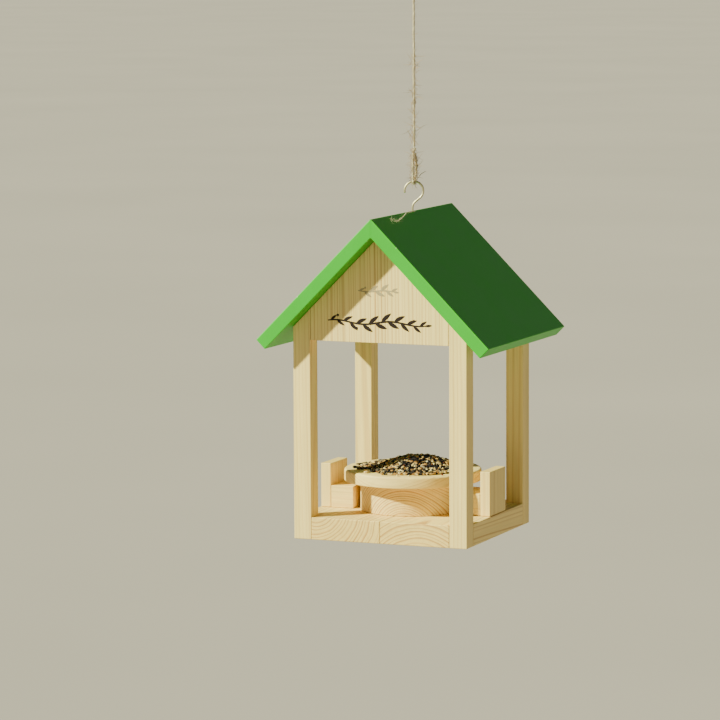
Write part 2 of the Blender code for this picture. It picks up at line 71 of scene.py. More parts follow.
ROOF_HIGH = np.array(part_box("roof_board_right")[1]) - HOUSE

ROOF_THICKNESS = 0.0135

# Camera, in degrees and metres
CAMERA_AIM = (-0.0508, -0.0195, 0.1785)
CAMERA_DISTANCE = 4.0111
CAMERA_YAW, CAMERA_PITCH, CAMERA_ROLL = 22.6485, 6.7887, -0.2704
CAMERA_LENS = 193.716

# Stage
FLOOR_DROP = 0.60  # below the base
FLOOR_SIZE = 160.0
SUN_FROM = (-1.13, -1.0, 1.06)
SUN_SPREAD = 2.5  # degrees
SUN_STRENGTH = 10.5
ROOM_HORIZON = 0.55  # the pale walls' brightness
ROOM_OVERHEAD = 0.10

# Twine and hook
TWINE = 0.002
TWINE_LOOK = 0.0022  # soft plies stand a little past the twine's size
TWINE_GAP = 0.0003
THREAD = 0.0008
HOOK_WIRE = 0.0022
HOOK_RING = 0.0096  # radius, to the middle of the wire
HOOK_RISE = 0.0205  # from the ridge to the ring's middle
HOOK_OFFSET = 0.0015
HOOK_STRAIGHT = 0.0025
HOOK_SHANK = 0.0260
HOOK_FROM, HOOK_TO = math.radians(-50), math.radians(194)
LOOP_HEIGHT = 0.040
LOOP_HALF_WIDTH = 0.0085
LOOP_TAILS = 0.0006

rng = np.random.default_rng(7)


def house(x, y, z):
    return HOUSE + np.array([x, y, z])


def unit(vectors):
    return vectors / np.linalg.norm(vectors, axis=-1, keepdims=True)


# ------------------------------------------------------------------ camera


def make_camera():
    """The camera stands CAMERA_DISTANCE back from the point it aims at, turned by yaw, pitch and roll."""
    turn = Matrix.Rotation(math.radians(CAMERA_YAW), 4, "Z")
    tip = Matrix.Rotation(math.radians(90 - CAMERA_PITCH), 4, "X")
    roll = Matrix.Rotation(math.radians(CAMERA_ROLL), 4, "Z")
    away = Matrix.Translation((0, 0, CAMERA_DISTANCE))
    data = bpy.data.cameras.new("camera")
    data.lens = CAMERA_LENS
    data.sensor_width = 36
    data.clip_end = 200
    camera = bpy.data.objects.new("camera", data)
    bpy.context.scene.collection.objects.link(camera)
    camera.matrix_world = Matrix.Translation(house(*CAMERA_AIM)) @ turn @ tip @ roll @ away
    bpy.context.scene.camera = camera


make_camera()


# ------------------------------------------------------------------ surfaces


def skins(name, grids, material, body, stands_for=(), sharp=38):
    """One mesh of closed skins, from skins x rows x columns x 3 points.

    Each row is a ring whose last point meets its first. Quads join neighbouring rows, and a fan from the
    ring's middle closes each end. The sum of each ring's area along the step to the next one is the
    skin's volume, and where it comes out negative the rings are reversed, so that faces point outwards.
    Edges bent by more than `sharp` degrees stay crisp. The UV map holds turns round the ring and metres
    along the rings' middles, and the attribute "tone" holds a number drawn for each skin.
    """
    grids = np.asarray(grids, float)
    grids = grids[None] if grids.ndim == 3 else grids
    middles = grids.mean(axis=2)
    spokes = grids - middles[:, :, None]
    areas = np.cross(spokes, np.roll(spokes, -1, axis=2)).sum(axis=2)
    steps = np.diff(middles, axis=1)
    if (0.5 * (areas[0, 1:] + areas[0, :-1]) * steps[0]).sum() < 0:
        grids = grids[:, :, ::-1]
    count, rows, columns = grids.shape[:3]
    each = rows * columns + 2
    points = np.concatenate([grids.reshape(count, -1, 3), middles[:, [0, -1]]], axis=1)
    along = np.zeros((count, rows))
    along[:, 1:] = np.cumsum(np.linalg.norm(steps, axis=2), axis=1)

    row, column = (part.ravel() for part in np.indices((rows - 1, columns)))
    after = (column + 1) % columns
    quads = np.stack([column, after, after, column], 1) + columns * np.stack([row, row, row + 1, row + 1], 1)
    ring = np.arange(columns)
    following = (ring + 1) % columns
    last = (rows - 1) * columns
    low_fan = np.stack([following, ring, np.full(columns, each - 2)], 1)
    high_fan = np.stack([last + ring, last + following, np.full(columns, each - 1)], 1)
    starts = each * np.arange(count)[:, None, None]
    faces = (quads + starts).reshape(-1, 4).tolist()
    faces += (np.concatenate([low_fan, high_fan]) + starts).reshape(-1, 3).tolist()

    mesh = bpy.data.meshes.new(name)
    mesh.from_pydata(points.reshape(-1, 3), [], faces)
    u_quads = np.stack([column, column + 1, column + 1, column], 1) / columns
    v_quads = along[:, np.stack([row, row, row + 1, row + 1], 1)]
    uv_quads = np.stack([np.broadcast_to(u_quads, v_quads.shape), v_quads], -1).reshape(-1)
    u_low = np.stack([ring + 1, ring, ring + 0.5], 1)
    u_fans = np.concatenate([u_low, u_low[:, [1, 0, 2]]])
    v_fans = np.repeat(along[:, [0, -1]], columns, axis=1)[..., None]
    shape = (count, 2 * columns, 3)
    uv_fans = np.stack([np.broadcast_to(u_fans / columns, shape), np.broadcast_to(v_fans, shape)], -1)
    uv = mesh.uv_layers.new(name="UVMap")
    uv.data.foreach_set("uv", np.concatenate([uv_quads, uv_fans.reshape(-1)]).astype(np.float32))
    attribute = mesh.attributes.new("tone", "FLOAT", "POINT")
    attribute.data.foreach_set("value", np.repeat(rng.random(count), each).astype(np.float32))
    mesh.shade_smooth()
    mesh.set_sharp_from_angle(angle=math.radians(sharp))
    mesh.materials.append(material)

    piece = bpy.data.objects.new(name, mesh)
    bpy.context.scene.collection.objects.link(piece)
    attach(piece, body)
    if stands_for:
        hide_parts(*stands_for)
    return piece


def turned(profile, columns):
    """Rings about the house's Z axis: (r cos a, r sin a, z) for each (r, z) of the profile."""
    angles = 2 * np.pi * np.arange(columns) / columns
    r, z = profile.T[:, :, None]
    return HOUSE + np.stack([r * np.cos(angles), r * np.sin(angles), z + 0 * angles], -1)


def quarter(r, z, radius, start, end, steps):
    """A round corner as (r, z) points: its middle, its radius, and the angles it starts and ends at."""
    a = np.radians(np.linspace(start, end, steps))
    return np.column_stack([r + radius * np.cos(a), z + radius * np.sin(a)])


def lengths_along(path):
    steps = np.linalg.norm(np.diff(path, axis=0), axis=1)
    return np.concatenate([[0], np.cumsum(steps)])


def evenly(path, spacing):
    """The path read again at equal steps of about `spacing`."""
    s = lengths_along(path)
    at = np.linspace(0, s[-1], max(2, round(s[-1] / spacing) + 1))
    return np.column_stack([np.interp(at, s, path[:, axis]) for axis in range(3)])


def smooth(route, spacing):
    """A Catmull-Rom curve through the route's points, read at equal steps.

    Between b and c, with neighbours a and d, the point at t is half of
    2b + (c - a) t + (2a - 5b + 4c - d) t^2 + (3b - a - 3c + d) t^3.
    """
    route = np.asarray(route, float)
    ends = np.vstack([2 * route[0] - route[1], route, 2 * route[-1] - route[-2]])
    a, b, c, d = (ends[i : i + len(route) - 1, None] for i in range(4))
    t = np.linspace(0, 1, 32, endpoint=False)[None, :, None]
    curve = 2 * b + (c - a) * t + (2 * a - 5 * b + 4 * c - d) * t**2 + (3 * b - a - 3 * c + d) * t**3
    return evenly(np.vstack([0.5 * curve.reshape(-1, 3), route[-1:]]), spacing)


def directions(path, side):
    """Unit vectors at each point of a path: along it, and two square to it, the first square to side too."""
    along = unit(np.gradient(path, axis=0))
    first = unit(np.cross(along, side))
    return along, first, np.cross(along, first)


def tube(path, radius, side, columns):
    """Rings path + radius (first cos a + second sin a). radius is one number, one a row, or one a point."""
    _, first, second = directions(path, side)
    a = 2 * np.pi * np.arange(columns) / columns
    spokes = first[:, None] * np.cos(a)[:, None] + second[:, None] * np.sin(a)[:, None]
    radius = np.asarray(radius, float)
    radius = np.broadcast_to(radius[:, None] if radius.ndim == 1 else radius, (len(path), columns))
    return path[:, None] + radius[..., None] * spokes


def twisted(path, diameter, side, plies=3, lay=0.0078, columns=8, thins=0.0):
    """Plies laid round a path: ply k's middle line is path + reach (first cos q + second sin q).

    q is 2 pi (length / lay + k / plies). Plies that touch each other inside a circle of radius R have
    the radius R / (1 + 1 / sin(pi / plies)), and soft ones are pressed together, a fifth wider than that.
    Slow sines of the length make each swell and thin, and all thin by `thins` over the last third.
    """
    s = lengths_along(path)
    _, first, second = directions(path, side)
    outer = diameter / 2
    ply = outer / (1 + 1 / math.sin(math.pi / plies))
    share = 1 - thins * np.clip(3 * s / s[-1] - 2, 0, 1)
    grids = []
    for k in range(plies):
        q = 2 * np.pi * (s / lay + k / plies)
        out = first * np.cos(q)[:, None] + second * np.sin(q)[:, None]
        swell = 1 + 0.10 * np.sin(s / 0.0031 + 2.1 * k) + 0.07 * np.sin(s / 0.0013 + 4.4 * k)
        middle = path + (outer - ply) * share[:, None] * out
        grids.append(tube(middle, 1.2 * ply * swell * share, out, columns))
    return np.array(grids)


def fibres(path, side, radius, count, shortest, longest, hair, curl, only):
    """Loose fibres standing off a cord: each runs root + length (t way + curl t^2 bend + sine wave), and
    its radius is hair (1 - 0.75 t^4).

    way leans outwards and along the cord by chance, bend is any direction, and the wave is 0.07 sin(2 pi t)
    square to both. `only` keeps the roots that lie in a range of the cord's length, from 0 to 1.
    """
    low, high = only
    along, first, second = directions(path, side)
    at = (rng.uniform(low, high, count) * (len(path) - 1)).astype(int)
    a = rng.uniform(0, 2 * np.pi, count)[:, None]
    out = first[at] * np.cos(a) + second[at] * np.sin(a)
    way = unit(out + along[at] * rng.uniform(-1.8, 1.8, count)[:, None])
    bend = unit(rng.normal(size=(count, 3)))
    length = (shortest + (longest - shortest) * rng.random(count) ** 2.2)[:, None, None]
    t = np.linspace(0, 1, 8)[None, :, None]
    root = path[at] + out * radius * 0.8
    across = unit(np.cross(way, bend))
    other = np.cross(way, across)
    wave = 0.07 * np.sin(2 * np.pi * t) * across[:, None]
    middle = root[:, None] + length * (t * way[:, None] + curl * t**2 * bend[:, None] + wave)
    turn = 2 * np.pi * np.arange(3) / 3
    ring = across[:, None] * np.cos(turn)[:, None] + other[:, None] * np.sin(turn)[:, None]
    thin = hair * (1 - 0.75 * t**4)
    return middle[:, :, None] + thin[..., None] * ring[:, None]


# ----------------------------------------------------------------- materials


def linear(code):
    """The linear colour of an sRGB hex code: ((s + 0.055) / 1.055) ** 2.4, or s / 12.92 near black."""
    s = np.array([int(code[i : i + 2], 16) / 255 for i in (0, 2, 4)])
    return (*np.where(s <= 0.04045, s / 12.92, ((s + 0.055) / 1.055) ** 2.4), 1.0)


def shown(sockets, name=None):
    """The first enabled socket, or the first of this name: a node disables those its mode has no use for."""
    return next(socket for socket in sockets if socket.enabled and name in (None, socket.name))


def add(tree, kind, *inputs, **named):
    """Adds a shader node. Its inputs come in order, or by name with a capital, and each is a value, or a
    socket or node to link. Names in lower case are the node's own settings, and they are set first."""
    node = tree.nodes.new("ShaderNode" + kind)
    for name in filter(str.islower, named):
        setattr(node, name, named[name])
    by_name = {name.replace("_", " "): value for name, value in named.items() if not name.islower()}
    pairs = [*zip(node.inputs, inputs)]
    pairs += [(shown(node.inputs, name), value) for name, value in by_name.items()]
    for socket, value in pairs:
        if isinstance(value, bpy.types.Node):
            value = shown(value.outputs)
        if isinstance(value, bpy.types.NodeSocket):
            tree.links.new(value, socket)
        else:
            socket.default_value = value
    return node


def new_material(name, **values):
    """A material, its tree and its Principled shader, with the constant values set on its own sockets."""
    material = bpy.data.materials.new(name)
    material.use_nodes = True
    shader = material.node_tree.nodes["Principled BSDF"]
    for socket, value in values.items():
        shader.inputs[socket.replace("_", " ")].default_value = value
    return material, material.node_tree, shader


def finish_shader(tree, shader, colour, roughness, bump):
    """Links the colour, the roughness and a bump to the Principled shader.

    colour is a node, or (factor, hex, hex) of two colours to mix. roughness is (value, gain, base), and
    bump is (height, its depth in metres, strength).
    """
    if isinstance(colour, tuple):
        share, first, second = colour
        colour = add(tree, "Mix", Factor=share, A=linear(first), B=linear(second), data_type="RGBA")
    rough = add(tree, "Math", *roughness, operation="MULTIPLY_ADD")
    height, depth, strength = bump
    bumped = add(tree, "Bump", Strength=strength, Distance=depth, Height=height)
    for name, node in (("Base Color", colour), ("Roughness", rough), ("Normal", bumped)):
        tree.links.new(shown(node.outputs), shader.inputs[name])


def speckled(
    name, first, second, size, roughness, deep, detail=3.0, limits=(0.0, 1.0), stretch=(1, 1, 1), **values
):
    """Two colours mixed by a noise over the frame's metres, which makes the bump as well, `deep` metres high.

    `size` is the noise's scale, `stretch` slows it along an axis, and the mix runs between its `limits`.
    """
    material, tree, shader = new_material(name, **values)
    where = add(tree, "TexCoord").outputs["Object"]
    where = add(tree, "VectorMath", where, stretch, operation="MULTIPLY")
    noise = add(tree, "TexNoise", Vector=where, Scale=size, Detail=detail)
    share = add(tree, "MapRange", Value=noise, From_Min=limits[0], From_Max=limits[1])
    finish_shader(tree, shader, (share, first, second), (noise, *roughness), (noise, deep, 0.4))
    return material


def planed_pine(
    name,
    grain,
    pith,
    ring=0.0037,
    lean=(0.02, 0.01),
    early="F7D784",
    late="AE6A28",
    lines=(0.16, 0.50),
    bold=None,
):
    """Planed, unfinished pine: yearly rings of `ring` metres round a pith line along `grain`.

    The pith passes through the house point `pith` and leans by `lean` as it runs. Pale early wood deepens
    into a thin late-wood line that ends sharply, so that faces show lines or arches and ends show arcs.
    Fibres 1 mm wide and darker streaks run with the grain. `lines` is the share of late wood's colour in
    the faintest and the strongest line, and `bold` is (distance from the pith, width) of heavier lines.
    """
    material, tree, shader = new_material(name, Specular_IOR_Level=0.35)
    where = add(tree, "TexCoord")
    moved = add(tree, "VectorMath", where.outputs["Object"], tuple(house(*pith)), operation="SUBTRACT")
    x, y, z = add(tree, "SeparateXYZ", moved).outputs
    along, one, two = {"X": (x, y, z), "Y": (y, z, x), "Z": (z, x, y)}[grain]
    one = add(tree, "Math", along, lean[0], one, operation="MULTIPLY_ADD")
    two = add(tree, "Math", along, lean[1], two, operation="MULTIPLY_ADD")
    slow = add(tree, "Math", along, 0.12, operation="MULTIPLY")
    slower = add(tree, "Math", along, 0.02, operation="MULTIPLY")
    flat = add(tree, "CombineXYZ", one, two)
    lengthwise = add(tree, "CombineXYZ", one, two, slow)
    fibrous = add(tree, "CombineXYZ", one, two, slower)

    wander = add(tree, "TexNoise", Vector=lengthwise, Scale=24.0, Detail=2.0)
    reach = add(tree, "VectorMath", flat, operation="LENGTH")
    years = add(tree, "Math", reach, ring, operation="DIVIDE")
    years = add(tree, "Math", wander, 1.5, years, operation="MULTIPLY_ADD")
    uneven = add(tree, "TexNoise", W=years, Scale=0.41, Detail=1.0, noise_dimensions="1D")
    years = add(tree, "Math", uneven, 1.6, years, operation="MULTIPLY_ADD")
    phase = add(tree, "Math", years, operation="FRACT")
    which = add(tree, "Math", years, operation="FLOOR")
    darkness = add(tree, "TexWhiteNoise", W=which, noise_dimensions="1D")
    rise = add(tree, "MapRange", Value=phase, From_Min=0.46, From_Max=0.88, interpolation_type="SMOOTHSTEP")
    fall = add(tree, "MapRange", Value=phase, From_Min=0.90, To_Min=1.0, To_Max=0.0)
    line = add(tree, "Math", rise, fall, operation="MULTIPLY")
    weight = add(tree, "MapRange", Value=darkness, To_Min=lines[0], To_Max=lines[1])
    if bold:
        off = add(tree, "Math", reach, bold[0], operation="SUBTRACT")
        off = add(tree, "Math", off, operation="ABSOLUTE")
        boldness = add(tree, "MapRange", Value=off, From_Max=bold[1], To_Min=0.38, To_Max=0.0)
        weight = add(tree, "Math", weight, boldness, operation="ADD")
    line = add(tree, "Math", line, weight, operation="MULTIPLY")

    fibre = add(tree, "TexNoise", Vector=fibrous, Scale=900.0, Detail=2.0, Roughness=0.6)
    streak = add(tree, "TexNoise", Vector=fibrous, Scale=130.0, Detail=3.0)
    colour = add(tree, "Mix", Factor=line, A=linear(early), B=linear(late), data_type="RGBA")
    tone = add(tree, "Math", streak, 0.32, 0.70, operation="MULTIPLY_ADD")
    tone = add(tree, "Math", fibre, 0.30, tone, operation="MULTIPLY_ADD")
    colour = add(tree, "VectorMath", Vector=colour, Scale=tone, operation="SCALE")
    axis = {"X": (1, 0, 0), "Y": (0, 1, 0), "Z": (0, 0, 1)}[grain]
    facing = add(tree, "VectorMath", where.outputs["Normal"], axis, operation="DOT_PRODUCT")
    facing = add(tree, "Math", facing, operation="ABSOLUTE")
    end_grain = add(tree, "MapRange", Value=facing, From_Min=0.6, From_Max=0.95, To_Max=0.8)
    deeper = add(tree, "VectorMath", colour, (0.93, 0.86, 0.72), operation="MULTIPLY")
    colour = add(tree, "Mix", Factor=end_grain, A=colour, B=deeper, data_type="RGBA")
    rough = add(tree, "Math", fibre, 0.16, 0.50, operation="MULTIPLY_ADD")
    height = add(tree, "Math", line, 0.8, fibre, operation="MULTIPLY_ADD")
    finish_shader(tree, shader, colour, (end_grain, 0.12, rough), (height, 0.00012, 0.45))
    return material


def satin_paint(name, colour, worn, primer):
    """Satin green paint, rolled on wood: a fine stipple 1 mm across, the grain's faint ribs under it,
    edges where it lies thinner and paler, and a few chips along them down to the pale primer.

    The boards' arrises are found from three distances: through the board, along the slope and along Y.
    """
    material, tree, shader = new_material(name, Specular_IOR_Level=0.35, Coat_Weight=0.05, Coat_Roughness=0.3)
    where = add(tree, "TexCoord").outputs["Object"]
    ridge = tuple(house(0, 0, ROOF_HIGH[2]))
    moved = add(tree, "VectorMath", where, ridge, operation="SUBTRACT")
    x, y, z = add(tree, "SeparateXYZ", moved).outputs
    out = add(tree, "Math", x, operation="ABSOLUTE")
    end = add(tree, "Math", y, operation="ABSOLUTE")
    rise = add(tree, "Math", out, z, operation="ADD")
    down = add(tree, "Math", out, z, operation="SUBTRACT")
    depth = add(tree, "Math", rise, -math.sqrt(0.5), operation="MULTIPLY")
    slope = add(tree, "Math", down, math.sqrt(0.5), operation="MULTIPLY")
    thickness, length, half = ROOF_THICKNESS, ROOF_HIGH[0] * math.sqrt(2), ROOF_HIGH[1]
    wear = 0.0011
    other = add(tree, "Math", thickness, depth, operation="SUBTRACT")
    nearest = add(tree, "Math", depth, other, operation="MINIMUM")
    near_face = add(tree, "MapRange", Value=nearest, From_Max=wear, To_Min=1.0, To_Max=0.0)
    near_end = add(tree, "MapRange", Value=end, From_Min=half - wear, From_Max=half)
    near_eave = add(tree, "MapRange", Value=slope, From_Min=length - wear, From_Max=length)
    edge = add(tree, "Math", near_face, near_end, operation="MULTIPLY")
    eave = add(tree, "Math", near_face, near_eave, operation="MULTIPLY")
    edge = add(tree, "Math", edge, eave, operation="MAXIMUM")
    chance = add(tree, "TexNoise", Vector=where, Scale=260.0, Detail=2.0)
    chip = add(tree, "MapRange", Value=chance, From_Min=0.70, From_Max=0.73)
    chip = add(tree, "Math", chip, edge, operation="MULTIPLY")

    ribs = add(tree, "VectorMath", where, (1.0, 0.04, 1.0), operation="MULTIPLY")
    ribs = add(tree, "TexNoise", Vector=ribs, Scale=420.0, Detail=2.0)
    stipple = add(tree, "TexNoise", Vector=where, Scale=1000.0, Detail=2.0)
    cloud = add(tree, "TexNoise", Vector=where, Scale=30.0, Detail=4.0)
    tone = add(tree, "Math", cloud, 0.16, 0.84, operation="MULTIPLY_ADD")
    tone = add(tree, "Math", stipple, 0.14, tone, operation="MULTIPLY_ADD")
    paint = add(tree, "VectorMath", Vector=linear(colour)[:3], Scale=tone, operation="SCALE")
    thin = add(tree, "Math", edge, 0.45, operation="MULTIPLY")
    paint = add(tree, "Mix", Factor=thin, A=paint, B=linear(worn), data_type="RGBA")
    paint = add(tree, "Mix", Factor=chip, A=paint, B=linear(primer), data_type="RGBA")
    height = add(tree, "Math", ribs, 0.8, stipple, operation="MULTIPLY_ADD")
    finish_shader(tree, shader, paint, (cloud, 0.14, 0.40), (height, 0.00010, 0.5))
    return material


def jute(name, light, dark):
    """Loosely spun jute: pale and tan fibres lie side by side and wind round each ply. The darker colour is
    the tan fibres and also painted shade between them. The fibres are drawn 0.25 mm wide, a few times their
    real width, to show at all."""
    sheen = dict(Sheen_Weight=0.25, Sheen_Roughness=0.5)
    material, tree, shader = new_material(name, Specular_IOR_Level=0.2, **sheen)
    uv = add(tree, "UVMap", uv_map="UVMap")
    u, v, _ = add(tree, "SeparateXYZ", uv).outputs
    tone = add(tree, "Attribute", attribute_name="tone").outputs["Fac"]
    turns = add(tree, "Math", v, 260.0, u, operation="MULTIPLY_ADD")
    ring = add(tree, "Math", turns, 2 * math.pi, operation="MULTIPLY")
    cosine = add(tree, "Math", ring, operation="COSINE")
    sine = add(tree, "Math", ring, operation="SINE")
    drift = add(tree, "Math", v, 90.0, tone, operation="MULTIPLY_ADD")
    wound = add(tree, "CombineXYZ", cosine, sine, drift)
    strands = add(tree, "TexNoise", Vector=wound, Scale=3.2, Detail=3.0, Roughness=0.65)
    patches = add(tree, "TexNoise", W=v, Scale=110.0, Detail=2.0, noise_dimensions="1D")
    mix = add(tree, "MapRange", Value=strands, From_Min=0.34, From_Max=0.62)
    share = add(tree, "Math", patches, 0.7, 0.1, operation="MULTIPLY_ADD")
    mix = add(tree, "Math", mix, share, operation="MULTIPLY")
    # the dark colour mixed in here is partly tan fibre and partly painted shade between the fibres
    colour = add(tree, "Mix", Factor=mix, A=linear(light), B=linear(dark), data_type="RGBA")
    shade = add(tree, "Math", tone, 0.3, 0.82, operation="MULTIPLY_ADD")
    colour = add(tree, "VectorMath", Vector=colour, Scale=shade, operation="SCALE")
    finish_shader(tree, shader, colour, (strands, 0.2, 0.74), (strands, 0.00018, 0.8))
    return material


def plated_wire(name, colour, dull):
    """Drawn steel wire with a pale yellow zinc plating: fine lines run with the wire, and the plating is
    duller in patches."""
    material, tree, shader = new_material(name, Metallic=1.0)
    uv = add(tree, "UVMap", uv_map="UVMap")
    lines = add(tree, "VectorMath", uv, (14.0, 60.0, 0.0), operation="MULTIPLY")
    lines = add(tree, "TexNoise", Vector=lines, Scale=1.0, Detail=3.0)
    where = add(tree, "TexCoord").outputs["Object"]
    patches = add(tree, "TexNoise", Vector=where, Scale=420.0, Detail=3.0)
    roughness = (patches, 0.30, 0.34)
    finish_shader(tree, shader, (patches, colour, dull), roughness, (lines, 0.00004, 0.4))
    return material


def seed_coat(name, base, other, stripes, roughness_from=0.45):
    """A dry seed coat: colour runs from base to other from seed to seed, with `stripes` lengthwise lines
    round each seed, and a skin that is finely wrinkled."""
    material, tree, shader = new_material(name, Specular_IOR_Level=0.15)
    tone = add(tree, "Attribute", attribute_name="tone").outputs["Fac"]
    uv = add(tree, "UVMap", uv_map="UVMap")
    turns = add(tree, "SeparateXYZ", uv).outputs["X"]
    where = add(tree, "TexCoord").outputs["Object"]
    wave = add(tree, "Math", turns, 2 * math.pi * stripes, operation="MULTIPLY")
    wave = add(tree, "Math", wave, operation="SINE")
    wave = add(tree, "MapRange", Value=wave, From_Min=0.2, From_Max=0.9, To_Max=0.6)
    speckle = add(tree, "TexNoise", Vector=where, Scale=900.0, Detail=2.0)
    mix = add(tree, "Math", speckle, 0.4, tone, operation="MULTIPLY_ADD")
    mix = add(tree, "Math", mix, 0.75, wave, operation="MULTIPLY_ADD")
    mix = add(tree, "MapRange", Value=mix, From_Min=0.15, From_Max=1.25)
    roughness = (speckle, 0.3, roughness_from)
    finish_shader(tree, shader, (mix, base, other), roughness, (speckle, 0.00008, 0.5))
    return material


# One material for each board, because each is cut from its own part of a tree: a board that is cut far
# from the pith shows straight lines, and one cut near it shows arches
PINE_BOARDS = {
    "base_board_left": dict(grain="Y", pith=(-0.072, 0, 0.031), ring=0.0037, lines=(0.32, 0.72)),
    "base_board_right": dict(grain="Y", pith=(0.042, 0, -0.042), ring=0.0039, lines=(0.30, 0.68)),
    "post_front_left": dict(grain="Z", pith=(-0.150, -0.060, 0), ring=0.0034, lines=(0.10, 0.35)),
    "post_front_right": dict(grain="Z", pith=(0.150, -0.180, 0), ring=0.0031, lines=(0.10, 0.35)),
    "post_rear_left": dict(grain="Z", pith=(-0.030, 0.170, 0), ring=0.0033, lines=(0.14, 0.38)),
    "post_rear_right": dict(grain="Z", pith=(0.130, 0.010, 0), ring=0.0036, lines=(0.17, 0.48)),
    "gable_front": dict(
        grain="Z", pith=(-0.160, -0.105, 0.2), lean=(0.01, 0.0), lines=(0.22, 0.52), bold=(0.163, 0.016)
    ),
    "gable_rear": dict(grain="Z", pith=(0.030, 0.150, 0.2), ring=0.0040),
    "ridge_batten": dict(grain="Y", pith=(0.020, 0, 0.260), ring=0.0030),
    "chair_back_left": dict(grain="Z", pith=(-0.120, 0.090, 0), ring=0.0030, lines=(0.07, 0.32)),
    "chair_back_right": dict(grain="Z", pith=(0.180, -0.060, 0), ring=0.0030, lines=(0.10, 0.42)),
    "chair_seat_left": dict(grain="X", pith=(0, 0.060, 0.090), ring=0.0036, lines=(0.07, 0.29)),
    "chair_seat_right": dict(grain="X", pith=(0, -0.060, -0.020), ring=0.0036, lines=(0.10, 0.35)),
    "table_top": dict(grain="X", pith=(0, 0.020, -0.050), ring=0.0038, lean=(0.03, 0.02), lines=(0.10, 0.38)),
    "table_drum": dict(grain="Y", pith=(0.010, 0, 0.006), ring=0.0026, early="F2D890", lines=(0.42, 0.80)),
}
pine = {board: planed_pine(f"planed_pine_{board}", **look) for board, look in PINE_BOARDS.items()}
for board, material in pine.items():
    frame["nodes"][board].data.materials.clear()
    frame["nodes"][board].data.materials.append(material)

green_paint = satin_paint("satin_green_paint", "2CAA14", "5CC834", "D9D8B8")
# Zinc-plated screw steel, tumbled: a cool, slightly mottled grey
zinc_plate = speckled("zinc_plated_steel", "C9C7C0", "8F8E88", 700.0, (0.25, 0.22), 0.00003, Metallic=1.0)
# Turned beech: pinkish tan with short dark ray flecks about 1 mm long
FLECKS = dict(detail=2.0, limits=(0.52, 0.64), Specular_IOR_Level=0.3)
beech = speckled("turned_beech", "C9A176", "8E6238", 1100.0, (0.2, 0.55), 0.00005, **FLECKS)
OTHER_CAD = {"roof_board": green_paint, "dowel": beech, "_screw_": zinc_plate}
for part, material in OTHER_CAD.items():
    for node in (n for name, n in frame["nodes"].items() if part in name):
        node.data.materials.clear()
        node.data.materials.append(material)

# Each jute's second colour is tan fibre, darkened further as painted shade between the fibres
jute_twine = jute("spun_jute", "EADDB6", "8C683A")
jute_fibre = jute("loose_jute_fibre", "C09A64", "6E4C28")
hook_plating = plated_wire("yellow_zinc_plated_wire", "E2D6AE", "B8A67A")
# Screen-printed water-based ink on bare wood: matt, and thinner where the grain's upright ribs took less
RIBS = dict(detail=2.0, stretch=(1, 1, 0.06), Specular_IOR_Level=0.25)
ink = speckled("brown_screen_ink", "140A05", "2C1A0E", 800.0, (0.2, 0.65), 0.00003, **RIBS)
faint_ink = speckled("thin_brown_screen_ink", "94805A", "B8A478", 800.0, (0.2, 0.65), 0.00003, **RIBS)
# Dried white glue with wood dust in it: a waxy tan with darker specks under 1 mm
DUST = dict(detail=2.0, Specular_IOR_Level=0.4)
glue = speckled("dried_wood_glue", "E0C690", "C4A468", 900.0, (0.2, 0.45), 0.00004, **DUST)


# --------------------------------------------------------------------- twine

# How many fibres, their shortest and longest length, their radius, their curl, and the part of the cord
# that they stand on
ALL = (0.0, 1.0)
FIBRES = {
    "hook_loop": {
        "fuzz": (420, 0.0010, 0.0048, 0.00008, 0.6, ALL),
        "wisps": (110, 0.0040, 0.0090, 0.00020, 0.9, ALL),
    },
    "lower_knot_tied": {"fuzz": (120, 0.0008, 0.0032, 0.00008, 0.6, (0.45, 0.85))},
    "strand": {
        "fuzz": (560, 0.0008, 0.0042, 0.00008, 0.6, ALL),
        "wisps": (130, 0.0040, 0.0095, 0.00020, 0.9, (0.02, 0.60)),
    },
    "top_knot_tied": {"fuzz": (120, 0.0008, 0.0032, 0.00008, 0.6, (0.93, 1.0))},
    "hang_loop": {"fuzz": (330, 0.0008, 0.0040, 0.00008, 0.6, ALL)},
    "loose_end": {
        "fuzz": (120, 0.0006, 0.0030, 0.00005, 0.6, ALL),
        "tuft": (46, 0.0020, 0.0080, 0.00007, 0.9, (0.72, 1.0)),
    },
}
HALF_KNOT = (KNOT_HIGH[2] - KNOT_LOW[2]) / 2


def twine(name, grids, body, *stands_for):
    """A skin of spun jute on one of the bodies."""
    return skins(name, grids, jute_twine, body, stands_for)


def loose_fibres(cord, path, side, body, diameter=TWINE, material=jute_fibre):
    """The pieces of loose fibres that FIBRES lists for this cord."""
    pieces = []
    for kind, look in FIBRES[cord].items():
        grids = fibres(path, side, diameter / 2, *look)
        pieces.append(skins(f"{cord}_{kind}", grids, material, body))
    return pieces


def on_crown(across, through, up):
    """A point from the hook's crown: along the ring's plane, through it, and up."""
    return CROWN + RING_WAY * across + RING_SIDE * through + UP * up


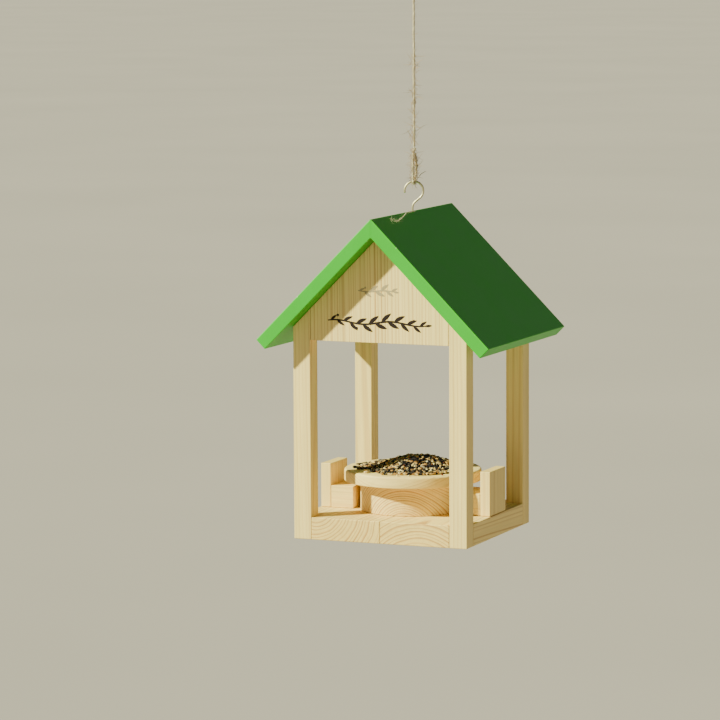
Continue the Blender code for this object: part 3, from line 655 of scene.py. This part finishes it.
def make_hook_loop():
    """The twine's loop over the hook: both ends go up into the lower knot."""
    under_knot = LOWER_KNOT[2] - CROWN[2] - HALF_KNOT - TWINE_GAP
    wrap = (HOOK_WIRE + TWINE) / 2 + TWINE_GAP
    route = [
        on_crown(-0.0008, -0.0010, under_knot),
        on_crown(-0.0011, -0.0017, 0.022),
        on_crown(-0.0010, -0.0022, 0.010),
        on_crown(-0.0008, -wrap, 0.0015),
        on_crown(-0.0005, -0.8 * wrap, -0.62 * wrap),
        on_crown(0.0, 0.0, -wrap),
        on_crown(0.0006, 0.8 * wrap, -0.62 * wrap),
        on_crown(0.0011, wrap, 0.0015),
        on_crown(0.0022, 0.0025, 0.010),
        on_crown(0.0024, 0.0020, 0.020),
        on_crown(0.0013, 0.0010, under_knot),
    ]
    path = smooth(route, 0.0005)
    piece = twine("hook_loop_cord", twisted(path, TWINE_LOOK, RING_WAY), "hook_tie", "twine_hook_loop")
    loose = loose_fibres("hook_loop", path, RING_WAY, "hook_tie")
    stray_route = [
        on_crown(0.0012, 0.0016, 0.0002),
        on_crown(0.0042, 0.0018, 0.0036),
        on_crown(0.0080, 0.0022, 0.0078),
        on_crown(0.0124, 0.0030, 0.0102),
    ]
    stray_path = smooth(stray_route, 0.0006)
    thin = 0.00042 * (1 - 0.5 * np.linspace(0, 1, len(stray_path)) ** 3)
    stray = twine("hook_loop_stray_fibre", tube(stray_path, thin, RING_SIDE, 6), "hook_tie")
    return piece, path, [*loose, stray]


def make_knot(name, middle, body, node):
    """An overhand knot, pulled tight: for t from -2.1 to 2.1 the cord's middle runs through
    (a (t^3 - 3t), b (t^4 - 4t^2 + 2), c (t^5 - 10t)), and its ends are drawn back over the knot's axis."""
    t = np.linspace(-2.1, 2.1, 90)
    size = KNOT_HIGH - KNOT_LOW
    drawn = 1 - np.clip((np.abs(t) - 1.55) / 0.5, 0, 1) ** 2
    x = size[0] * 0.125 * (t**3 - 3 * t) * drawn
    y = size[1] * 0.098 * (t**4 - 4 * t**2 + 2) * drawn
    z = size[2] * 0.0225 * (t**5 - 10 * t)
    path = evenly(middle + np.outer(x, RING_WAY) + np.outer(y, RING_SIDE) + np.outer(z, UP), 0.0003)
    side = unit(path - (middle + RING_SIDE * size[1]))
    piece = twine(name, twisted(path, 0.86 * TWINE, side), body, node)
    return piece, *loose_fibres(name, path, side, body)


def make_strand():
    """The single strand between the knots. It hangs taut, and wavers by a fifth of a millimetre."""
    bottom = LOWER_KNOT + UP * (HALF_KNOT + TWINE_GAP)
    top = TOP_KNOT - UP * (HALF_KNOT + TWINE_GAP)
    t = np.linspace(0, 1, 320)[:, None]
    ease = np.sin(np.pi * t)
    waver = 0.0002 * ease * (np.sin(23 * t) * RING_WAY + np.sin(31 * t + 1) * RING_SIDE)
    path = bottom + (top - bottom) * t + waver
    piece = twine("strand_cord", twisted(path, TWINE_LOOK, RING_WAY), "twine", "twine_strand")
    return piece, path, loose_fibres("strand", path, RING_WAY, "twine")


def make_hang_loop():
    """The loop above the top knot: straight legs that open into a round top."""
    foot = TOP_KNOT + UP * (HALF_KNOT - LOOP_TAILS)
    loop_top = LOOP_HEIGHT + LOOP_TAILS
    a = np.radians([-8, 22, 52])
    across = [0.0022, 0.0044, 0.0075, *(LOOP_HALF_WIDTH * np.cos(a))]
    up = [0.0, 0.007, 0.018, *(loop_top - LOOP_HALF_WIDTH * (1 - np.sin(a)))]
    half = np.column_stack([across, np.zeros(6), up])
    mirrored = half * (-1, 1, 1)
    path = smooth(foot + np.vstack([mirrored, [(0, 0, loop_top)], half[::-1]]), 0.0005)
    side = (0, 1, 0)
    piece = twine("hang_loop_cord", twisted(path, TWINE_LOOK, side), "hanger", "twine_hang_loop")
    return piece, path, loose_fibres("hang_loop", path, side, "hanger")


def make_loose_end():
    """A thin loose thread that lies forward from the hook along the right slope."""
    slope_out = unit(np.array([1.0, 0.0, 1.0]))
    ridge = CROWN[2] - HOUSE[2] - HOOK_RING - HOOK_RISE
    lift = THREAD / 2 + 0.0005
    beside = (HOOK_WIRE + THREAD) / 2 + TWINE_GAP
    hook_y = SHANK[1] - HOUSE[1]
    places = [
        (0.0014, hook_y + 0.0010),
        (0.0013, hook_y - beside - 0.0012),
        (0.0011, -0.018),
        (0.0030, -0.030),
        (0.0050, -0.042),
        (0.0063, -0.053),
        (0.0066, -0.061),
        (0.0046, -0.066),
        (0.0034, -0.072),
    ]
    route = [house(x, y, ridge - x) + slope_out * lift for x, y in places]
    route[0] = house(beside + 0.0006, hook_y + 0.0010, ridge - beside - 0.0006) + UP * lift * math.sqrt(2)
    path = smooth(route, 0.0004)
    grids = twisted(path, THREAD, slope_out, plies=2, lay=0.0035, columns=7, thins=0.6)
    piece = twine("loose_end_thread", grids, "feeder", "twine_loose_end")
    return piece, path, loose_fibres("loose_end", path, slope_out, "feeder", THREAD, jute_twine)


SHANK = CROWN - UP * (HOOK_RING + HOOK_RISE) - RING_WAY * HOOK_OFFSET  # where it enters the ridge
loop, loop_path, loop_extras = make_hook_loop()
lower_knot = make_knot("lower_knot_tied", LOWER_KNOT, "hook_tie", "twine_lower_knot")
strand, strand_path, strand_extras = make_strand()
top_knot = make_knot("top_knot_tied", TOP_KNOT, "hanger", "twine_top_knot")
hang_loop, hang_path, hang_extras = make_hang_loop()
loose_end, loose_path, loose_extras = make_loose_end()


# ---------------------------------------------------------------------- hook


def make_hook():
    """The hook's wire: a threaded shank, an S bend as a cubic Bezier curve, and a ring open on one side.

    The thread's ridge is highest where length / pitch - turns round the wire is a whole number, and the
    wire tapers to a point at the screw end and is rounded at the open end.
    """
    foot = SHANK - UP * HOOK_SHANK
    bend = SHANK + UP * HOOK_STRAIGHT
    middle = CROWN - UP * HOOK_RING
    angles = np.linspace(HOOK_FROM, HOOK_TO, 120)[:, None]
    ring = middle + HOOK_RING * (RING_WAY * np.cos(angles) + UP * np.sin(angles))
    entering = UP * math.cos(HOOK_FROM) - RING_WAY * math.sin(HOOK_FROM)
    handle = 0.42 * np.linalg.norm(ring[0] - bend)
    a, b = bend + UP * handle, ring[0] - entering * handle
    t = np.linspace(0, 1, 60)[:, None]
    curve = (1 - t) ** 3 * bend + 3 * t * (1 - t) ** 2 * a + 3 * t**2 * (1 - t) * b + t**3 * ring[0]
    path = evenly(np.vstack([foot + (bend - foot) * t[:-1], curve[:-1], ring]), 0.00016)

    columns, wire, pitch, point, plain = 16, HOOK_WIRE / 2, 0.0013, 0.005, 0.0015
    s = lengths_along(path)[:, None]
    turns = np.arange(columns) / columns
    ridge = np.cos(2 * np.pi * (s / pitch - turns)) ** 2 * np.cos(np.pi * (s / pitch - turns)) ** 2
    threaded = np.clip((HOOK_SHANK - plain - s) / 0.001, 0, 1)
    radius = wire * (1 - threaded * (0.24 - 0.27 * ridge)) * np.clip(0.12 + s / point, 0, 1)
    to_end = np.clip((s[-1] - s) / (0.7 * wire), 0, 1)
    radius = radius * np.sqrt(np.clip(1 - (1 - to_end) ** 2, 0.02, 1))
    wire_rings = tube(path, radius, RING_SIDE, columns)
    skins("screw_hook_wire", wire_rings, hook_plating, "feeder", ["screw_hook"])


make_hook()


# --------------------------------------------------------------------- table


def make_turning(name, node, low, high, edge, steps):
    """A round board turned about the house's Z axis: its upper edge is a quarter round of radius `edge`, in
    `steps` points, and its lower one is eased."""
    radius, ease, core = (high[1] - low[1]) / 2, 0.0007, 0.004
    profile = [
        [(core, high[2])],
        quarter(radius - edge, high[2] - edge, edge, 90, 0, steps),
        quarter(radius - ease, low[2] + ease, ease, 0, -90, 5),
        [(core, low[2])],
    ]
    skins(name, turned(np.vstack(profile), 180), pine[node], "feeder", [node])


make_turning("table_top_board", "table_top", TABLE_LOW, TABLE_HIGH, 0.0024, 9)
make_turning("table_drum_block", "table_drum", DRUM_LOW, DRUM_HIGH, 0.0007, 5)


# ---------------------------------------------------------------- roof joint


def make_roof_joint():
    """Paint that fills the mitre between the roof boards: an upright sliver from the boards' inner corner
    to the ridge, as wide as the boards' eased edges, and a hair proud of both ends and of the ridge."""
    low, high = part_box("roof_board_left"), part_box("roof_board_right")
    proud, half, middle = 0.00004, 0.00065, 0.00005
    front, back = low[0].y - HOUSE[1] - proud, low[1].y - HOUSE[1] + proud
    bottom, top = ROOF_HIGH[2] - ROOF_THICKNESS * math.sqrt(2) + half, high[1].z - HOUSE[2]
    x = middle + np.array([-half, -half, 0, half, half, 0])
    z = np.array([bottom, top - half, top + proud, top - half, bottom, bottom - half])
    ring = np.column_stack([x, 0 * x, z])
    rows = np.linspace(front, back, 40)[:, None, None] * np.array([0, 1, 0]) + ring
    skins("roof_joint_paint", HOUSE + rows, green_paint, "feeder")


make_roof_joint()


def make_glue_lines():
    """Dried glue in the open joints: upright blocks, each a hair wider than its joint and set in a hair from
    the faces round it. Their outlines are (x cos a, y sin a) with both taken to the power 1/4.

    The joints lie between the posts and the base, on two sides of each post, between the posts and the
    gables, and between the two base boards.
    """
    inset, half = 0.00008, 0.00016
    post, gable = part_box("post_front_left"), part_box("gable_front")
    outer = -(np.array(post[0]) - HOUSE)[:2]
    inner = -(np.array(post[1]) - HOUSE)[:2]
    base_top, gable_low, eave = BASE_LEFT[1].z - HOUSE[2], gable[0].z - HOUSE[2], post[1].z - HOUSE[2]
    gable_in = HOUSE[1] - gable[1].y
    joint = 0.00013  # from a post's face to the middle of the gap beside it
    blocks = [(0.00004, 0.0, half, outer[1] - inset, 0.0, base_top)]
    for x_way in (-1, 1):
        for y_way in (-1, 1):
            across, deep = (inner[0] + outer[0]) / 2, (inner[1] + outer[1]) / 2
            span, depth = (outer[0] - inner[0]) / 2 - inset, (outer[1] - inner[1]) / 2 - inset
            blocks.append((x_way * (inner[0] - joint), y_way * deep, half, depth, 0.0, base_top))
            blocks.append((x_way * across, y_way * (inner[1] - joint), span, half, 0.0, base_top))
            deep, depth = (gable_in + outer[1]) / 2, (outer[1] - gable_in) / 2 - inset
            blocks.append((x_way * (inner[0] - joint), y_way * deep, half, depth, gable_low, eave))
    x, y, wide, thick, low, high = np.array(blocks).T[:, :, None, None]
    a = 2 * np.pi * np.arange(16) / 16
    ring_x = np.sign(np.cos(a)) * np.abs(np.cos(a)) ** 0.25
    ring_y = np.sign(np.sin(a)) * np.abs(np.sin(a)) ** 0.25
    t = np.linspace(0, 1, 4)[:, None]
    z = low + inset + (high - low - 2 * inset) * t + 0 * a
    grids = np.stack([x + wide * ring_x + 0 * t, y + thick * ring_y + 0 * t, z], -1)
    skins("glue_lines", HOUSE + grids, glue, "feeder")


make_glue_lines()


# --------------------------------------------------------------------- seeds

HEAP_MIDDLE = (HEAP_LOW + HEAP_HIGH)[:2] / 2
HEAP_RADIUS = (HEAP_HIGH[0] - HEAP_LOW[0]) / 2
HEAP_HEIGHT = HEAP_HIGH[2] - HEAP_LOW[2]
SEED_LEVEL = 0.86  # whole seeds stand up to a thickness above this share of the heap
BED_LEVEL = 0.74
SEED_TIP = 0.30  # how far chance tips a seed off the slope, as the tangent of an angle
SEED_SUNK = 0.0022  # how deep chance sinks one into the bed
LOOSE_SIDE = 0.85  # spread in radians, round the left, of the seeds that lie off the heap
LOOSE_REACH = (1.0, 1.24)  # how far out they lie, in radii of the heap

# length, width and thickness in metres, how pointed one end is, how many in the heap and how many loose,
# and the material's colours, stripes and roughness
SEEDS = {
    "black_sunflower_seeds": ((0.0078, 0.0031, 0.0025), 0.45, 500, 18, ("0B0908", "221A17", 3, 0.55)),
    "striped_sunflower_seeds": ((0.0082, 0.0033, 0.0026), 0.45, 110, 5, ("130E0C", "96866A", 5, 0.50)),
    "sunflower_hearts": ((0.0066, 0.0029, 0.0023), 0.35, 300, 14, ("EBD79A", "B08E54", 1, 0.50)),
    "wheat_grains": ((0.0060, 0.0026, 0.0024), 0.10, 260, 9, ("CFA560", "8A5E2E", 1, 0.50)),
    "white_millet": ((0.0023, 0.0021, 0.0019), 0.05, 380, 14, ("F0E3B4", "D9B66C", 0, 0.40)),
    "red_millet": ((0.0022, 0.0021, 0.0019), 0.05, 190, 6, ("7A3F24", "4E261A", 0, 0.40)),
    "cracked_maize": ((0.0044, 0.0036, 0.0028), 0.25, 30, 2, ("DDB468", "B98742", 1, 0.50)),
    "hemp_seeds": ((0.0034, 0.0028, 0.0025), 0.10, 260, 10, ("4A3C2E", "261E18", 2, 0.45)),
}


def heap_height(reach):
    """The heap's height above the table: a power of the cosine of the share of its radius."""
    share = np.clip(reach / HEAP_RADIUS, 0, 1)
    return HEAP_HEIGHT * np.cos(share * np.pi / 2) ** 1.3


def seed_shapes(count, size, pointed):
    """Seeds about the origin, lying along X: the ring at t has x = -cos(t) length / 2 and, across, an
    ellipse of sin(t) (1 - pointed x) times half the width and thickness. Each is a little unlike the next."""
    rows, columns, end = 5, 8, 0.30
    t = np.linspace(end, np.pi - end, rows)[:, None]
    a = 2 * np.pi * np.arange(columns) / columns
    x = -np.cos(t) + 0 * a
    girth = np.sin(t) * (1 - pointed * x)
    shape = np.stack([x, girth * np.cos(a), girth * np.sin(a)], -1) * np.array(size) / 2
    scale = rng.normal(1, 0.10, (count, 1, 1, 3))
    return shape * scale * (1 + rng.normal(0, 0.04, (count, rows, columns, 1)))


def lay_seeds(shapes, thickness, loose):
    """Places seeds at random over the heap, tipped with its slope, and the last `loose` of them flat on
    the bare table round it."""
    count = len(shapes)
    angle = rng.uniform(0, 2 * np.pi, count)
    ragged = 1 + 0.05 * np.sin(3 * angle + 0.6) + 0.04 * np.sin(7 * angle + 2.0)
    reach = HEAP_RADIUS * np.sqrt(rng.random(count)) * ragged
    if loose:
        angle[-loose:] = rng.normal(np.pi, LOOSE_SIDE, loose)
        reach[-loose:] = HEAP_RADIUS * rng.uniform(*LOOSE_REACH, loose)
    way = np.column_stack([np.cos(angle), np.sin(angle)])
    spot = HEAP_MIDDLE + way * reach[:, None]
    height = SEED_LEVEL * heap_height(reach)
    step = 0.001
    fall = (SEED_LEVEL * heap_height(reach + step) - height) / step
    rough = np.clip(height / 0.006, 0, 1)[:, None]
    normal = np.column_stack([-way * fall[:, None], np.ones(count)])
    normal = unit(normal + rng.normal(0, SEED_TIP, (count, 3)) * rough)
    yaw = rng.uniform(0, 2 * np.pi, count)
    heading = np.column_stack([np.cos(yaw), np.sin(yaw), np.zeros(count)])
    side = unit(np.cross(normal, heading))
    heading = np.cross(side, normal)
    sunk = rng.uniform(0, SEED_SUNK, count) * np.clip(height / 0.004, 0, 1)
    z = TABLE_HIGH[2] + height + thickness / 2 - sunk + 0.0002
    middle = HOUSE + np.column_stack([spot, z])
    turn = np.stack([heading, side, normal], 1)  # rows are the seed's own X, Y and Z
    return middle[:, None, None] + shapes @ turn[:, None]


def make_seeds():
    """A bed of packed seed that fills the heap, and eight kinds of whole seed lying on it."""
    rows, columns = 44, 150
    share = np.linspace(0.02, 1, rows)[:, None]
    angle = 2 * np.pi * np.arange(columns) / columns
    bumps = 0.0007 * np.sin(share * 61 + 3 * np.sin(9 * angle)) * np.sin(17 * angle + 9 * share)
    reach = 0.95 * HEAP_RADIUS * share * (1 + 0.03 * np.sin(5 * angle))
    rise = BED_LEVEL * heap_height(reach) + bumps * np.clip((1 - share) * 8, 0, 1)
    x, y = HEAP_MIDDLE[0] + reach * np.cos(angle), HEAP_MIDDLE[1] + reach * np.sin(angle)
    upper = np.stack([x, y, TABLE_HIGH[2] + 0.0005 + np.maximum(rise, 0)], -1)
    under = np.stack([x[-1:], y[-1:], np.full((1, columns), TABLE_HIGH[2] + 0.0002)], -1)
    # The bed's near-black browns are packed seed darkened as painted shade; it shows in the gaps between the
    # whole seeds
    bed = seed_coat("packed_seed_painted_shade", "1E1610", "5C4630", 0, 0.6)
    skins("seed_bed", HOUSE + np.concatenate([upper, under]), bed, "feeder", ["seed_heap"])
    for name, (size, pointed, heaped, loose, look) in SEEDS.items():
        coat = seed_coat(f"seed_coat_{name}", *look)
        shapes = seed_shapes(heaped + loose, size, pointed)
        skins(name, lay_seeds(shapes, size[2], loose), coat, "feeder", sharp=80)


make_seeds()


# ----------------------------------------------------------------- ornament

INK_THICK = 0.00006


def leaves(roots, ways, lengths, widths, curl):
    """Slender leaves printed on the gable, as flat closed skins.

    At t along a leaf its middle is root + length (t way + curl t^2 square), and its half width is half of
    width (sin(pi t))^0.8 (1 - 0.3 t). Each ring is an ellipse of that half width and the ink's thickness.
    """
    ways = unit(np.asarray(ways, float))
    square = np.stack([-ways[:, 1], ways[:, 0]], 1)
    rows, columns, blunt = 11, 8, 0.01
    t = np.linspace(0.02, 0.985, rows)
    half = 0.5 * np.sin(np.pi * t) ** 0.8 * (1 - 0.3 * t) + blunt
    a = 2 * np.pi * np.arange(columns) / columns
    bend = (curl[:, None] * t**2)[..., None] * square[:, None]
    middle = roots[:, None] + lengths[:, None, None] * (t[:, None] * ways[:, None] + bend)
    across = widths[:, None, None] * half[:, None] * np.cos(a)
    flat = middle[:, :, None] + across[..., None] * square[:, None, None]
    proud = np.broadcast_to(INK_THICK * np.sin(a), across.shape)
    return HOUSE + np.stack([flat[..., 0], GABLE_FACE - INK_THICK - proud, flat[..., 1]], -1)


def stroke(points, width):
    """A printed line along points on the gable, as a flattened tube."""
    path = smooth(np.column_stack([points[:, 0], 0 * points[:, 0], points[:, 1]]), 0.0012)
    t = np.linspace(0, 1, len(path))
    taper = width / 2 * (0.55 + 0.45 * np.sin(np.pi * t) ** 0.5)
    ring = tube(path, taper, (0, 1, 0), 8)
    ring[..., 1] *= INK_THICK / (width / 2)
    return HOUSE + ring + (0, GABLE_FACE - INK_THICK, 0)


def dots(centres, radius):
    """Printed berries: flat round spots."""
    t = np.linspace(0.2, np.pi - 0.2, 5)[:, None]
    a = 2 * np.pi * np.arange(14) / 14
    x, z = radius * np.sin(t) * np.cos(a), radius * np.sin(t) * np.sin(a)
    disc = np.stack([x, INK_THICK * np.cos(t) + 0 * a, z], -1)
    middles = np.column_stack([centres[:, 0], np.full(len(centres), GABLE_FACE - INK_THICK), centres[:, 1]])
    return HOUSE + middles[:, None, None] + disc


def make_sprig(name, middle, reach, sway, wave_length, nodes, leaf, leaf_width, line, print_ink):
    """A plain sprig: a stem that waves like a sine, leaves that leave it upwards and downwards by turns and
    a last one at its tip, and a berry across from every third leaf. The leaves shorten towards both ends."""
    x = np.linspace(-reach, reach, 25)
    stem = np.column_stack([middle[0] + x, middle[1] + sway * np.sin(x / wave_length)])
    skins(name + "_stem", stroke(stem, line), print_ink, "feeder")
    at = np.append(np.linspace(-0.94 * reach, 0.86 * reach, nodes), 0.96 * reach)
    up = np.append(np.where(np.arange(nodes) % 2 == 0, 1.0, -1.0), 0.0)
    turn = 0.68 * up + np.arctan(sway / wave_length * np.cos(at / wave_length))
    size = 1 - 0.45 * (np.abs(at) / reach) ** 2
    roots = np.column_stack([middle[0] + at, middle[1] + sway * np.sin(at / wave_length)])
    ways = np.column_stack([np.cos(turn), np.sin(turn)])
    grids = leaves(roots, ways, leaf * size, leaf_width * size, -0.12 * up)
    skins(name + "_leaves", grids, print_ink, "feeder")
    bare = slice(1, nodes - 1, 3)
    berries = roots[bare] + np.column_stack([np.full(len(at[bare]), 0.0008), -0.34 * leaf * up[bare]])
    skins(name + "_berries", dots(berries, 0.7 * line), print_ink, "feeder")


# A plain sprig across the gable, and a small faint one above it: their middles (X and Z), half lengths,
# sways, wave lengths, numbers of leaves, leaf lengths and widths, and stem widths
make_sprig("sprig", (-0.002, 0.2262), 0.0540, 0.0018, 0.0096, 15, 0.0142, 0.0050, 0.0020, ink)
make_sprig("spray", (-0.003, 0.2585), 0.0195, 0.0008, 0.0060, 7, 0.0115, 0.0040, 0.0015, faint_ink)


# --------------------------------------------------------------------- stage


def make_stage():
    """A pale matt floor under the feeder, one large soft key light from the front left, and a pale room."""
    half = FLOOR_SIZE / 2
    x, y = np.meshgrid([-half, half], [-half, half], indexing="ij")
    corners = np.stack([x, y, np.full((2, 2), HOUSE[2] - FLOOR_DROP)], -1).reshape(-1, 3)
    mesh = bpy.data.meshes.new("floor")
    mesh.from_pydata(corners, [], [(0, 2, 3, 1)])
    material, tree, shader = new_material("pale_studio_paper", Roughness=0.9, Specular_IOR_Level=0.1)
    where = add(tree, "TexCoord").outputs["Object"]
    cloud = add(tree, "TexNoise", Vector=where, Scale=0.8, Detail=2.0)
    paper = add(tree, "Mix", Factor=cloud, A=linear("B2A69A"), B=linear("A89D92"), data_type="RGBA")
    tree.links.new(shown(paper.outputs), shader.inputs["Base Color"])
    mesh.materials.append(material)
    floor = bpy.data.objects.new("floor", mesh)
    bpy.context.scene.collection.objects.link(floor)

    sun = bpy.data.lights.new("key", "SUN")
    sun.energy = SUN_STRENGTH
    sun.angle = math.radians(SUN_SPREAD)
    sun.color = linear("F2FCE2")[:3]
    key = bpy.data.objects.new("key", sun)
    key.rotation_euler = Vector(SUN_FROM).to_track_quat("Z", "Y").to_euler()
    bpy.context.scene.collection.objects.link(key)

    world = bpy.data.worlds.new("room")
    world.use_nodes = True
    tree, walls = world.node_tree, world.node_tree.nodes["Background"]
    way = add(tree, "TexCoord").outputs["Generated"]
    rise = add(tree, "SeparateXYZ", way).outputs["Z"]
    fade = dict(From_Max=0.6, To_Min=ROOM_HORIZON, To_Max=ROOM_OVERHEAD, interpolation_type="SMOOTHSTEP")
    strength = add(tree, "MapRange", Value=rise, **fade)
    walls.inputs["Color"].default_value = linear("E4E6E6")
    tree.links.new(strength.outputs["Result"], walls.inputs["Strength"])
    bpy.context.scene.world = world


make_stage()
